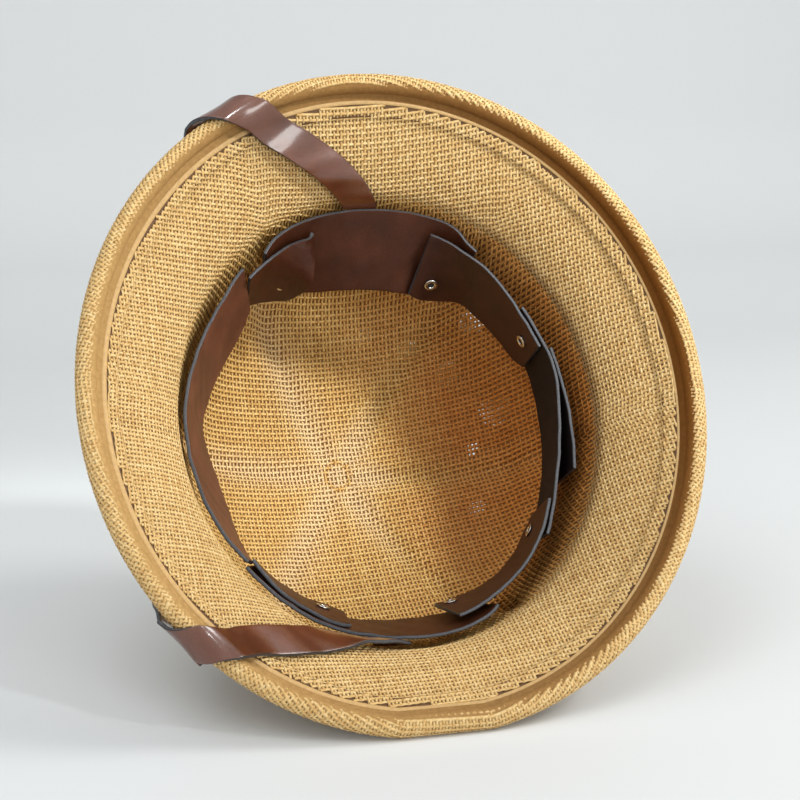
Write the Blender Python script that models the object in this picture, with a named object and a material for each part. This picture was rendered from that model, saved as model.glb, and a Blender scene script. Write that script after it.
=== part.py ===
"""Straw safari hat, lying on its right side. Lengths in metres, +Z up.

The hat is modelled in a frame of its own: x points to the back of the hat, y to the
wearer's left, and z out of the opening. Depth is measured from the brim's edge towards
the apex, and a bearing is the angle round the hat from the back, over the wearer's left.
"""
import math

import bmesh
import bpy
from mathutils import Vector

# Brim
brim_length = 0.285            # front to back, over the rolled edge
brim_breadth = 0.310           # side to side, over the rolled edge
brim_drop = 0.042              # from the middle of the rolled edge to the head opening
roll_thickness = 0.010         # cloth turned round a cord
hem_width = 0.0105             # glued hem beside the roll
hem_wall = 0.0010
edge_flat = 0.0385             # length of edge that the hat's weight presses flat

# Crown
opening_length = 0.198         # head opening, front to back
opening_breadth = 0.221        # head opening, side to side
opening_setback = 0.004        # the opening lies this much to the back of the brim's middle
crown_depth = 0.106            # from the head opening to the apex
apex_advance = 0.008           # the apex lies this much in front of the opening's middle
crown_flat = 0.033             # length of the crown's side that the hat's weight presses flat
straw_wall = 0.0015
rib_width = 0.0075
rib_height = 0.0016
boss_width = 0.0135
boss_height = 0.0014
flat_from = 0.45               # share of the crown's depth from which its side is flat
flat_until = 0.72              # and from which it rounds off towards the apex

# Headband, rivets and chin strap
leather = 0.0018
band_width = 0.038
rivet_width = 0.0076
rivet_height = 0.0009
rivet_bore = 0.0030
strap_width = 0.016
strap_slack = 0.0009           # where it crosses the rolled edge
clearance = 0.0003

# Fineness of the solids
columns_between_ribs = 9
widest_foot = 13.0             # degrees, where the ribs run together at the boss
roll_sides = 12
rivet_sides = 16
strip_steps = 3                # sections from one row of a strip's table to the next
strap_steps = 3                # sections from one row of the strap's route to the next

rib_bearings = (-121, -59, -6, 55, 116, 176)
rib_count = len(rib_bearings)

# Inner face of the brim, from the middle of the rolled edge (out 1) to the opening
# (out 0). deep is the share of the brim's drop. It runs straight under the hem.
brim_profile = (
    # out,  deep
    (1.000, 0.000),
    (0.620, 0.272),
    (0.490, 0.380),
    (0.360, 0.500),
    (0.230, 0.642),
    (0.120, 0.790),
    (0.040, 0.915),
)

# Inner face of the crown, from the opening to the apex.
# reach is the share of the opening's half size, deep the share of the crown's depth.
crown_profile = (
    # reach, deep
    (1.000, 0.025),
    (0.980, 0.130),
    (0.962, 0.250),
    (0.935, 0.380),
    (0.893, 0.500),
    (0.833, 0.612),
    (0.777, 0.715),
    (0.668, 0.805),
    (0.530, 0.880),
    (0.395, 0.938),
    (0.255, 0.976),
    (0.140, 0.992),
)

# Leather strips of the headband, one row for each section. near is the place of the
# edge by the opening and deep that of the edge in the crown, as shares of the opening's
# half size at that bearing. width is the share of the band's width. layer counts the
# leathers between the strip and the crown's wall, and start is how far the near edge
# lies below the opening, as a share of the band's width.
strips = {
    "front_band": {"layer": 0, "start": -0.04, "colour": "tan_leather", "rows": (
        (128.5, 0.945, 0.846, 0.90),
        (134, 0.940, 0.825, 1.00),
        (141, 0.936, 0.814, 1.00),
        (152, 0.948, 0.828, 1.00),
        (164, 0.967, 0.855, 1.00),
        (174, 0.985, 0.874, 1.00),
        (184, 0.992, 0.854, 1.00),
        (196, 0.991, 0.835, 1.00),
        (208, 0.988, 0.844, 1.00),
        (216, 0.980, 0.863, 1.00),
        (223.2, 0.970, 0.875, 0.94),
    )},
    "left_front_tab": {"layer": 2, "start": 0.08, "colour": "brown_leather", "rows": (
        (128.0, 0.941, 0.915, 0.80),
        (120, 0.941, 0.868, 0.94),
        (113, 0.946, 0.816, 1.00),
        (107, 0.950, 0.800, 0.62),
        (104, 0.951, 0.940, 0.10),
    )},
    "left_bridge": {"layer": 1, "start": 0.02, "colour": "brown_leather", "rows": (
        (120, 0.951, 0.905, 0.82),
        (114, 0.984, 0.842, 1.05),
        (106, 0.994, 0.780, 1.12),
        (96, 0.993, 0.742, 1.14),
        (84, 0.994, 0.730, 1.14),
        (72, 1.002, 0.741, 1.14),
        (64, 0.998, 0.786, 1.14),
        (58.5, 0.957, 0.832, 1.10),
        (55, 0.942, 0.880, 0.85),
    )},
    "left_back_strip": {"layer": 2, "start": 0.06, "colour": "dark_leather", "rows": (
        (69, 0.951, 0.760, 0.94),
        (64, 0.946, 0.775, 1.02),
        (58, 0.933, 0.822, 1.02),
        (51, 0.929, 0.880, 1.00),
        (43, 0.915, 0.885, 1.00),
        (34, 0.899, 0.895, 1.00),
        (26, 0.894, 0.900, 0.97),
        (20.5, 0.897, 0.905, 0.80),
    )},
    "back_strip": {"layer": 1, "start": 0.05, "colour": "black_leather", "rows": (
        (34, 0.903, 0.903, 0.86),
        (27, 0.898, 0.918, 1.00),
        (20, 0.901, 0.924, 1.00),
        (12, 0.902, 0.914, 1.00),
        (4, 0.886, 0.904, 1.00),
        (-5, 0.872, 0.902, 1.00),
        (-15, 0.869, 0.902, 1.00),
        (-25, 0.876, 0.904, 1.00),
        (-34, 0.899, 0.911, 1.00),
        (-41, 0.921, 0.911, 0.86),
    )},
    "back_tail": {"layer": 0, "start": 0.08, "colour": "black_leather", "rows": (
        (19, 0.909, 0.932, 0.90),
        (11, 0.902, 0.926, 0.94),
        (3, 0.905, 0.917, 0.94),
        (-5, 0.911, 0.914, 0.94),
        (-13, 0.922, 0.921, 0.92),
        (-19, 0.934, 0.933, 0.86),
    )},
    "right_back_strip": {"layer": 2, "start": 0.05, "colour": "dark_leather", "rows": (
        (-31, 0.887, 0.896, 0.82),
        (-37, 0.903, 0.899, 0.97),
        (-45, 0.922, 0.902, 1.00),
        (-54, 0.936, 0.892, 1.00),
        (-62, 0.942, 0.873, 1.00),
        (-69, 0.951, 0.856, 1.00),
        (-76, 0.956, 0.849, 0.92),
    )},
    "right_bridge": {"layer": 1, "start": 0.02, "colour": "brown_leather", "rows": (
        (-65.5, 0.968, 0.908, 0.86),
        (-69, 0.984, 0.892, 1.02),
        (-78, 0.992, 0.866, 1.05),
        (-89, 0.988, 0.856, 1.05),
        (-100, 0.991, 0.864, 1.05),
        (-110, 1.003, 0.876, 1.03),
        (-120, 1.005, 0.893, 1.00),
        (-130, 1.005, 0.897, 1.00),
        (-136.3, 1.008, 0.900, 0.94),
    )},
    "right_front_tab": {"layer": 2, "start": 0.08, "colour": "brown_leather", "rows": (
        (-105, 0.989, 0.880, 0.80),
        (-110, 0.998, 0.866, 0.96),
        (-118, 0.997, 0.874, 1.00),
        (-127, 0.995, 0.883, 1.00),
        (-136.3, 0.976, 0.891, 0.95),
    )},
}

# Eyelets, and their places across the strip that carries them (0 near, 1 deep).
rivets = (
    # strip,             bearing, across
    ("left_front_tab", 115.2, 0.64),
    ("left_back_strip", 63, 0.70),
    ("left_back_strip", 26.5, 0.38),
    ("right_back_strip", -38, 0.60),
    ("right_back_strip", -72, 0.76),
    ("right_front_tab", -112, 0.66),
)

# Chin strap, from the left bridge over the front to the right bridge. out runs from
# the opening (0) to the middle of the rolled edge (1), depth is the share of the brim's
# drop, faces is the way the outer face looks: -90 to the axis, 0 out of the opening,
# 90 away from the crown. Where wrap is 1 the strap lies on the rolled edge, and skew
# turns its cross lines from square (0) to the line of that edge (1).
strap_route = (
    # bearing, out,  depth, faces, wrap, skew
    (88.8, -0.200, 1.560, -81, 0, 0.0),
    (89.0, -0.115, 1.190, -77, 0, 0.0),
    (90.2, -0.050, 0.945, -68, 0, 0.0),
    (95.0, 0.135, 0.665, -50, 0, 0.0),
    (100.1, 0.316, 0.445, -32, 0, 0.1),
    (105.4, 0.519, 0.232, -26, 0, 0.3),
    (109.0, 0.700, 0.110, -30, 0, 0.6),
    (112.8, 1.000, 0.000, -42, 1, 1.0),
    (115.0, 1.000, 0.000, 0, 1, 1.0),
    (117.2, 1.000, 0.000, 45, 1, 1.0),
    (119.3, 1.000, 0.000, 90, 1, 1.0),
    (120.3, 1.000, 0.000, 112, 1, 1.0),
    (123.3, 1.060, 0.270, 110, 0, 0.7),
    (129.5, 1.000, 0.520, 102, 0, 0.3),
    (141.0, 0.830, 0.830, 95, 0, 0.0),
    (156.0, 0.420, 1.120, 91, 0, 0.0),
    (173.5, 0.165, 1.250, 90, 0, 0.0),
    (190.5, 0.175, 1.250, 90, 0, 0.0),
    (206.0, 0.480, 1.100, 91, 0, 0.0),
    (217.0, 0.900, 0.780, 96, 0, 0.3),
    (221.4, 1.060, 0.320, 108, 0, 0.7),
    (224.2, 1.000, 0.000, 112, 1, 1.0),
    (225.2, 1.000, 0.000, 90, 1, 1.0),
    (227.1, 1.000, 0.000, 45, 1, 1.0),
    (229.0, 1.000, 0.000, 0, 1, 1.0),
    (231.0, 1.000, 0.000, -42, 1, 1.0),
    (235.3, 0.630, 0.170, -28, 0, 0.6),
    (242.2, 0.359, 0.400, -32, 0, 0.2),
    (247.3, 0.201, 0.590, -40, 0, 0.0),
    (255.2, 0.015, 0.830, -72, 0, 0.0),
    (263.0, -0.063, 0.985, -80, 0, 0.0),
    (266.2, -0.078, 1.150, -84, 0, 0.0),
    (267.4, -0.168, 1.560, -82, 0, 0.0),
)

colours = {
    # name:           colour,              roughness, metallic
    "straw": ((0.52, 0.33, 0.13), 0.80, 0.0),
    "straw_edge": ((0.46, 0.28, 0.10), 0.78, 0.0),
    "tan_leather": ((0.13, 0.045, 0.026), 0.42, 0.0),
    "brown_leather": ((0.075, 0.020, 0.010), 0.42, 0.0),
    "dark_leather": ((0.045, 0.012, 0.008), 0.45, 0.0),
    "black_leather": ((0.014, 0.011, 0.011), 0.75, 0.0),
    "strap_leather": ((0.16, 0.055, 0.030), 0.25, 0.0),
    "steel": ((0.60, 0.60, 0.60), 0.28, 1.0),
}

roll_radius = roll_thickness / 2
opening_depth = roll_radius + brim_drop
apex_x = opening_setback - apex_advance
layer_step = leather + clearance


def material(name):
    if name in bpy.data.materials:
        return bpy.data.materials[name]
    colour, roughness, metallic = colours[name]
    made = bpy.data.materials.new(name)
    made.use_nodes = True
    shader = made.node_tree.nodes["Principled BSDF"]
    shader.inputs["Base Color"].default_value = (*colour, 1.0)
    shader.inputs["Roughness"].default_value = roughness
    shader.inputs["Metallic"].default_value = metallic
    made.diffuse_color = (*colour, 1.0)
    return made


def add_object(name, vertices, faces, colour, holder):
    mesh = bpy.data.meshes.new(name)
    mesh.from_pydata([tuple(v) for v in vertices], [], faces)
    mesh.materials.append(material(colour))
    mesh.shade_smooth()
    mesh.set_sharp_from_angle(angle=math.radians(40))
    made = bpy.data.objects.new(name, mesh)
    bpy.context.scene.collection.objects.link(made)
    made.parent = holder
    return made


def face_outwards(made):
    form = bmesh.new()
    form.from_mesh(made.data)
    bmesh.ops.recalc_face_normals(form, faces=form.faces)
    form.to_mesh(made.data)
    form.free()


def give_thickness(made, thickness, offset):
    wall = made.modifiers.new("wall", "SOLIDIFY")
    wall.thickness = thickness
    wall.offset = offset
    wall.use_even_offset = True


def grid_faces(rows, columns, rows_close, columns_close):
    faces = []
    for i in range(rows if rows_close else rows - 1):
        for k in range(columns if columns_close else columns - 1):
            j, m = (i + 1) % rows, (k + 1) % columns
            faces.append((i * columns + k, i * columns + m, j * columns + m, j * columns + k))
    return faces


def smooth(before, low, high, after, t):
    """A value on the smooth curve between low and high."""
    return (low + 0.5 * t * (high - before
            + t * (2 * before - 5 * low + 4 * high - after
                   + t * (3 * (low - high) + after - before))))


def resample(rows, steps):
    """The rows with more rows between them, read from a smooth curve through them."""
    made = []
    for i in range(len(rows) - 1):
        near = [rows[min(max(i + k, 0), len(rows) - 1)] for k in (-1, 0, 1, 2)]
        for k in range(steps):
            made.append([smooth(*values, k / steps) for values in zip(*near)])
    made.append(list(rows[-1]))
    return made


def section_at(rows, bearing):
    """The row of a strip's table at a bearing inside it."""
    for low, high in zip(rows, rows[1:]):
        share = (bearing - low[0]) / (high[0] - low[0])
        if 0 <= share <= 1:
            return [a + share * (b - a) for a, b in zip(low, high)]
    raise ValueError("bearing outside the strip")


def polar_radius(bearing, half_x, half_y, shift=0.0):
    """Distance from the brim's middle to an ellipse moved along x."""
    c, s = math.cos(math.radians(bearing)), math.sin(math.radians(bearing))
    a = (c / half_x) ** 2 + (s / half_y) ** 2
    b = c * shift / half_x**2
    return (b + math.sqrt(b * b - a * ((shift / half_x) ** 2 - 1))) / a


def pressed_half(half_x, half_y, flat):
    """Half breadth of an ellipse whose lowest stretch is pressed flat over a length."""
    return half_y - (flat / 2) ** 2 * half_y / (2 * half_x**2)


def opening_radius(bearing):
    return polar_radius(bearing, opening_length / 2, opening_breadth / 2, opening_setback)


def roll_centre_radius(bearing):
    """Middle of the rolled edge, pressed flat by the hat's weight where it lies."""
    half_x, half_y = brim_length / 2 - roll_radius, brim_breadth / 2 - roll_radius
    radius = polar_radius(bearing, half_x, half_y)
    lowest = pressed_half(half_x, half_y, edge_flat)
    reach_down = -radius * math.sin(math.radians(bearing))
    return radius * lowest / reach_down if reach_down > lowest else radius


def place(bearing, radius, depth):
    angle = math.radians(bearing)
    return Vector((radius * math.cos(angle), radius * math.sin(angle), -depth))


def outward(bearing, faces):
    """Direction in the plane of a bearing: 0 looks out of the opening, 90 off the axis."""
    lean = math.radians(faces)
    return place(bearing, math.sin(lean), -math.cos(lean))


def brim_point(bearing, out, deep):
    inner, outer = opening_radius(bearing), roll_centre_radius(bearing)
    return place(bearing, inner + out * (outer - inner), roll_radius + deep * brim_drop)


def crown_point(bearing, reach, deep):
    """A point of the crown's inner face, whose right side is pressed flat below the headband."""
    rim = place(bearing, opening_radius(bearing), 0.0)
    middle = apex_x + (opening_setback - apex_x) * reach
    flat = crown_flat * min(1.0, deep / flat_from, (1 - deep) / (1 - flat_until))
    lowest = pressed_half(opening_length / 2 * reach, opening_breadth / 2 * reach, flat)
    return Vector((middle + (rim.x - opening_setback) * reach, max(rim.y * reach, -lowest),
                   -opening_depth - deep * crown_depth))


def brim_slope(bearing):
    """Unit vector down the straight outer part of the brim, and that part's length."""
    run = brim_point(bearing, *brim_profile[1]) - brim_point(bearing, *brim_profile[0])
    return run.normalized(), run.length


def shell_bearings(foot_angle):
    """Bearings of the shell's columns: one on each rib, one at each foot of a rib."""
    bearings = []
    for i, rib in enumerate(rib_bearings):
        following = rib_bearings[(i + 1) % rib_count] + (360 if i == rib_count - 1 else 0)
        bearings.append(rib)
        first, last = rib + foot_angle, following - foot_angle
        for k in range(columns_between_ribs):
            bearings.append(first + (last - first) * k / (columns_between_ribs - 1))
    return bearings


def foot_angle_at(reach):
    return min(math.degrees(rib_width / (opening_length * reach)), widest_foot)


def crown_row(reach, deep):
    """One row of the crown's inner face, pushed outwards along the ribs."""
    row = []
    for k, bearing in enumerate(shell_bearings(foot_angle_at(reach))):
        point = crown_point(bearing, reach, deep)
        if k % (columns_between_ribs + 1) == 0:
            across = crown_point(bearing + 1, reach, deep) - crown_point(bearing - 1, reach, deep)
            deeper = crown_point(bearing, reach - 0.02, deep) - point
            deeper.z = -crown_depth * 0.02 * dome_steepness(reach)
            point += deeper.cross(across).normalized() * rib_height * min(1.0, deep * 4)
        row.append(point)
    return row


def dome_steepness(reach):
    """Fall of the crown's depth share for each share of reach, from its table."""
    for (reach_a, deep_a), (reach_b, deep_b) in zip(crown_profile, crown_profile[1:]):
        if reach_a >= reach >= reach_b:
            return (deep_b - deep_a) / (reach_a - reach_b)
    return 0.0


def boss_row(radius, sunk):
    row = []
    for bearing in shell_bearings(widest_foot):
        point = place(bearing, radius, opening_depth + crown_depth - boss_height + sunk)
        point.x += apex_x
        row.append(point)
    return row


def make_shell(hat):
    steady = foot_angle_at(1.0)
    start = []
    for bearing in shell_bearings(steady):
        slope, _ = brim_slope(bearing)
        start.append(brim_point(bearing, 1, 0) + slope * (roll_radius / math.cos(math.pi / roll_sides)
                                                          + clearance))
    rows = [start]
    rows += [[brim_point(b, *share) for b in shell_bearings(steady)] for share in brim_profile[1:]]
    rows += [crown_row(reach, deep) for reach, deep in crown_profile]
    rows += [boss_row(boss_width / 2, 0.0), boss_row(boss_width / 2 - boss_height, boss_height)]
    vertices = [point for row in rows for point in row]
    columns = len(start)
    faces = grid_faces(len(rows), columns, False, True)
    last = len(vertices) - columns
    faces += [(last + k, last + (k + 1) % columns, len(vertices)) for k in range(columns)]
    vertices.append(Vector((apex_x, 0.0, -opening_depth - crown_depth)))
    shell = add_object("straw_shell", vertices, faces, "straw", hat)
    give_thickness(shell, straw_wall, -1.0)
    return shell


def resting_tilt(shell):
    """Tilt of the axis when the rolled edge and the crown's side lie on one plane."""
    bpy.context.view_layer.update()
    evaluated = shell.evaluated_get(bpy.context.evaluated_depsgraph_get())
    edge = -place(-90, roll_centre_radius(-90), roll_radius).y
    tilts = []
    for vertex in evaluated.data.vertices:
        run = edge + vertex.co.y
        fall = -vertex.co.z - roll_radius
        if fall > brim_drop:
            tilts.append(math.atan2(run, fall) + math.asin(roll_radius / math.hypot(run, fall)))
    return min(tilts)


def roll_corners(tilt):
    """Corners of the roll's section, with one flat side to the ground, from the hem round."""
    slope, _ = brim_slope(-90)
    hem_way = 180 + math.degrees(math.atan2(math.hypot(slope.x, slope.y), -slope.z))
    side = 360 / roll_sides
    first = 90 + math.degrees(tilt) + side / 2
    turns = sorted((first + k * side - hem_way) % 360 for k in range(roll_sides))
    return [turn for turn in turns if 0.75 * side < turn < 360 - 0.25 * side]


def make_rolled_edge(hat, tilt):
    """The turned edge of the brim, with the hem beside it on the inner side."""
    corner = roll_radius / math.cos(math.pi / roll_sides)
    turns = roll_corners(tilt)
    rows = []
    for bearing in shell_bearings(foot_angle_at(1.0)):
        middle = brim_point(bearing, 1, 0)
        slope, _ = brim_slope(bearing)
        normal = place(bearing + 90, 1.0, 0.0).cross(slope)
        low, high = clearance, clearance + hem_wall
        section = [(math.sqrt(corner**2 - high**2), high)]
        section += [(corner * math.cos(math.radians(turn)), corner * math.sin(math.radians(turn)))
                    for turn in turns]
        section += [(math.sqrt(corner**2 - low**2), low), (roll_radius + hem_width, low),
                    (roll_radius + hem_width, high)]
        rows.append([middle + slope * along + normal * off for along, off in section])
    vertices = [point for row in rows for point in row]
    faces = grid_faces(len(rows), len(rows[0]), True, True)
    face_outwards(add_object("rolled_edge", vertices, faces, "straw_edge", hat))


def strip_section(strip, row):
    """The two edges of a strip at one row of its table."""
    bearing, near, deep, width = row
    half_size = opening_radius(bearing)
    span = width * band_width
    fall = math.sqrt(span**2 - ((near - deep) * half_size) ** 2)
    inset = (clearance + leather / 2 + strip["layer"] * layer_step) * span / fall
    depth = opening_depth + strip["start"] * band_width
    return (place(bearing, near * half_size - inset, depth),
            place(bearing, deep * half_size - inset, depth + fall))


def make_strip(name, strip, hat):
    sections = [strip_section(strip, row) for row in resample(strip["rows"], strip_steps)]
    vertices = [near.lerp(deep, k / 2) for near, deep in sections for k in range(3)]
    made = add_object(name, vertices, grid_faces(len(sections), 3, False, False),
                      strip["colour"], hat)
    give_thickness(made, leather, 0.0)


def make_rivet(name, strip, bearing, across, hat):
    """A small ring with a bore, standing on the highest leather under it."""
    radius, bore = rivet_width / 2, rivet_bore / 2
    turn = math.degrees(radius / opening_radius(bearing))
    shift = radius / band_width
    rows = resample(strip["rows"], strip_steps)
    sections = [strip_section(strip, section_at(rows, bearing + k * turn)) for k in (-1, 0, 1)]
    before, (near, deep), ahead = sections
    centre = near.lerp(deep, across)
    down = (deep - near).normalized()
    along = ahead[0].lerp(ahead[1], across) - before[0].lerp(before[1], across)
    inwards = down.cross(along).normalized()
    if inwards.dot(centre) > 0:
        inwards = -inwards
    along = down.cross(inwards)
    under = [top.lerp(foot, across + k * shift) for top, foot in sections for k in (-1, 1)]
    highest = max(inwards.dot(point - centre) for point in under)
    seat = centre + inwards * (highest + leather / 2 + clearance)
    profile = ((bore, 0), (radius, 0), (radius * 0.98, rivet_height * 0.5),
               (radius * 0.8, rivet_height), (bore * 1.3, rivet_height))
    vertices = []
    for k in range(rivet_sides):
        turn = 2 * math.pi * k / rivet_sides
        spoke = down * math.cos(turn) + along * math.sin(turn)
        vertices += [seat + spoke * r + inwards * h for r, h in profile]
    faces = grid_faces(rivet_sides, len(profile), True, True)
    face_outwards(add_object(name, vertices, faces, "steel", hat))


def strap_point(row):
    """Centre of the strap at one row of its route, and the way that its outer face looks."""
    bearing, out, deep, faces, wrap, _ = row
    looks = outward(bearing, faces)
    corner = roll_radius / math.cos(math.pi / roll_sides)
    lift = wrap * (corner + clearance + leather / 2 + strap_slack)
    return brim_point(bearing, out, deep) + looks * lift, looks


def make_strap(hat):
    rows = resample(strap_route, strap_steps)
    points = [strap_point(row) for row in rows]
    vertices = []
    for i, (point, looks) in enumerate(points):
        bearing, skew = rows[i][0], rows[i][5]
        way = points[min(i + 1, len(points) - 1)][0] - points[max(i - 1, 0)][0]
        square = way.cross(looks).normalized()
        along = (brim_point(bearing - 1, 1, 0) - brim_point(bearing + 1, 1, 0)).normalized()
        if along.dot(square) < 0:
            along = -along
        side = square.lerp(along, skew).normalized()
        side *= strap_width / 2 / side.cross(way.normalized()).length
        vertices += [point - side, point + side]
    made = add_object("chin_strap", vertices, grid_faces(len(points), 2, False, False),
                      "strap_leather", hat)
    give_thickness(made, leather, 0.0)


def lay_down(hat, tilt):
    """Lay the hat on its side, with the middle of its bounding box over the origin."""
    hat.rotation_euler = (math.pi / 2 - tilt, 0.0, 0.0)
    bpy.context.view_layer.update()
    graph = bpy.context.evaluated_depsgraph_get()
    points = []
    for piece in hat.children:
        evaluated = piece.evaluated_get(graph)
        points += [piece.matrix_world @ vertex.co for vertex in evaluated.data.vertices]
    low = [min(point[i] for point in points) for i in range(3)]
    high = [max(point[i] for point in points) for i in range(3)]
    hat.location = (-(low[0] + high[0]) / 2, -(low[1] + high[1]) / 2, -low[2])


def main():
    for old in list(bpy.data.objects):
        bpy.data.objects.remove(old, do_unlink=True)
    hat = bpy.data.objects.new("hat", None)
    bpy.context.scene.collection.objects.link(hat)
    shell = make_shell(hat)
    tilt = resting_tilt(shell)
    make_rolled_edge(hat, tilt)
    for name, strip in strips.items():
        make_strip(name, strip, hat)
    for count, (strip, bearing, across) in enumerate(rivets, 1):
        make_rivet(f"rivet_{count}", strips[strip], bearing, across, hat)
    make_strap(hat)
    lay_down(hat, tilt)


main()
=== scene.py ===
import math

import bmesh
import bpy
import numpy as np
from mathutils import Matrix, Vector


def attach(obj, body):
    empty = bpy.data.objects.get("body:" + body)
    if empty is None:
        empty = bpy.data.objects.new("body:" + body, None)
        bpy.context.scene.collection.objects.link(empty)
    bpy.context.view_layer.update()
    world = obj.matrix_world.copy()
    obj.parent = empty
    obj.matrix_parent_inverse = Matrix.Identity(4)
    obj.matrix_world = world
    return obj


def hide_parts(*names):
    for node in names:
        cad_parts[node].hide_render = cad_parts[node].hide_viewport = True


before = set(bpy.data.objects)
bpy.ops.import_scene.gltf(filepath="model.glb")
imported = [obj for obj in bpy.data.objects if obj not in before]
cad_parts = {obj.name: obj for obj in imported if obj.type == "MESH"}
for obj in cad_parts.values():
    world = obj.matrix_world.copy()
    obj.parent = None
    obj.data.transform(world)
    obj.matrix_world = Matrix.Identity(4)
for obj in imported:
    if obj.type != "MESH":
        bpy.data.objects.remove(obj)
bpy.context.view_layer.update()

print("frame loaded", len(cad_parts), "nodes")

# The hat's own frame: x to its back, y to the wearer's left, z out of the opening.
# It lies on its right side, so that frame is tilted and moved into the room.
lie = {"tilt": 30.2508, "middle": (0.0000729, -0.0387133, 0.1358234)}

hat = {
    "brimLength": 0.285,
    "brimBreadth": 0.31,
    "brimDrop": 0.042,
    "rollThickness": 0.01,
    "hemWidth": 0.0105,
    "edgeFlat": 0.0385,
    "openingLength": 0.198,
    "openingBreadth": 0.221,
    "openingSetback": 0.004,
    "crownDepth": 0.106,
    "apexAdvance": 0.008,
    "crownFlat": 0.033,
    "flatFrom": 0.45,
    "flatUntil": 0.72,
    "ribWidth": 0.0115,
    "ribHeight": 0.0028,
    "ribs": (-121, -59, -6, 55, 116, 176),
    "bossWidth": 0.0135,
    "bossHeight": 0.0014,
    "leather": 0.0018,
    "bandWidth": 0.038,
    "strapWidth": 0.016,
    "strapSlack": 0.0009,
    "clearance": 0.0003,
}

# out, deep: from the middle of the rolled edge to the head opening
brimProfile = (
    (1.0, 0.0), (0.81, 0.136), (0.62, 0.272), (0.49, 0.38), (0.36, 0.5), (0.23, 0.642), (0.12, 0.79),
    (0.04, 0.915),
)
# reach, deep: from the head opening to the edge of the boss
crownProfile = (
    (1.0, 0.025), (0.98, 0.13), (0.962, 0.25), (0.935, 0.38), (0.893, 0.5), (0.833, 0.612),
    (0.777, 0.715), (0.668, 0.805), (0.53, 0.88), (0.395, 0.938), (0.255, 0.972), (0.14, 0.986),
    (0.06, 0.987), (0.0, 0.987),
)

rollRadius = hat["rollThickness"] / 2
openingDepth = rollRadius + hat["brimDrop"]
openingHalves = np.array((hat["openingLength"], hat["openingBreadth"])) / 2
apexX = hat["openingSetback"] - hat["apexAdvance"]
toRoom = Matrix.Translation(lie["middle"]) @ Matrix.Rotation(math.radians(90 - lie["tilt"]), 4, "X")
toRoomTurn = np.array(toRoom.to_3x3())
toRoomPlace = np.array(toRoom.translation)


def intoRoom(points):
    return np.asarray(points) @ toRoomTurn.T + toRoomPlace


def unit(vectors):
    return vectors / np.maximum(np.linalg.norm(vectors, axis=-1, keepdims=True), 1e-12)


def ellipseRadius(bearings, halfX, halfY, shift=0.0):
    c, s = np.cos(np.radians(bearings)), np.sin(np.radians(bearings))
    a = (c / halfX) ** 2 + (s / halfY) ** 2
    b = c * shift / halfX**2
    return (b + np.sqrt(b * b - a * ((shift / halfX) ** 2 - 1))) / a


def openingRadius(bearings):
    return ellipseRadius(bearings, *openingHalves, hat["openingSetback"])


def pressedHalf(halfX, halfY, flat):
    # half breadth of an ellipse whose lowest stretch is pressed flat over a length
    return halfY - (flat / 2) ** 2 * halfY / (2 * halfX**2)


def rollMiddleRadius(bearings):
    halfX, halfY = hat["brimLength"] / 2 - rollRadius, hat["brimBreadth"] / 2 - rollRadius
    radius = ellipseRadius(bearings, halfX, halfY)
    lowest = pressedHalf(halfX, halfY, hat["edgeFlat"])
    down = -radius * np.sin(np.radians(bearings))
    return np.where(down > lowest, radius * lowest / np.maximum(down, 1e-6), radius)


def place(bearings, radius, depth):
    angle = np.radians(bearings)
    return np.stack([radius * np.cos(angle), radius * np.sin(angle), -depth + 0 * angle], axis=-1)


def brimPoint(bearings, out, deep):
    inner, outer = openingRadius(bearings), rollMiddleRadius(bearings)
    return place(bearings, inner + out * (outer - inner), rollRadius + deep * hat["brimDrop"])


def crownPoint(bearings, reach, deep):
    rim = place(bearings, openingRadius(bearings), 0.0)
    middle = apexX + (hat["openingSetback"] - apexX) * reach
    x = middle + (rim[..., 0] - hat["openingSetback"]) * reach
    y = rim[..., 1] * reach
    if reach > 0:
        flat = hat["crownFlat"] * min(1, deep / hat["flatFrom"], (1 - deep) / (1 - hat["flatUntil"]))
        y = np.maximum(y, -pressedHalf(*openingHalves * reach, flat))
    return np.stack([x, y, 0 * x - openingDepth - deep * hat["crownDepth"]], axis=-1)


def smoothRows(rows, steps):
    # more rows between the given ones, on a smooth curve through them
    rows = np.asarray(rows, float)
    padded = np.concatenate([rows[:1], rows, rows[-1:]])
    before, low, high, after = padded[:-3], padded[1:-2], padded[2:-1], padded[3:]
    made = [low + 0.5 * t * (high - before + t * (2 * before - 5 * low + 4 * high - after
            + t * (3 * (low - high) + after - before))) for t in np.arange(steps) / steps]
    mixed = np.stack(made, axis=1).reshape((-1,) + rows.shape[1:])
    return np.concatenate([mixed, rows[-1:]])


def acrossRib(bearings, rib, fromApex):
    # place across a rib, 1 at half its width
    return np.radians((bearings - rib + 180) % 360 - 180) * fromApex / (hat["ribWidth"] / 2)


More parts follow.
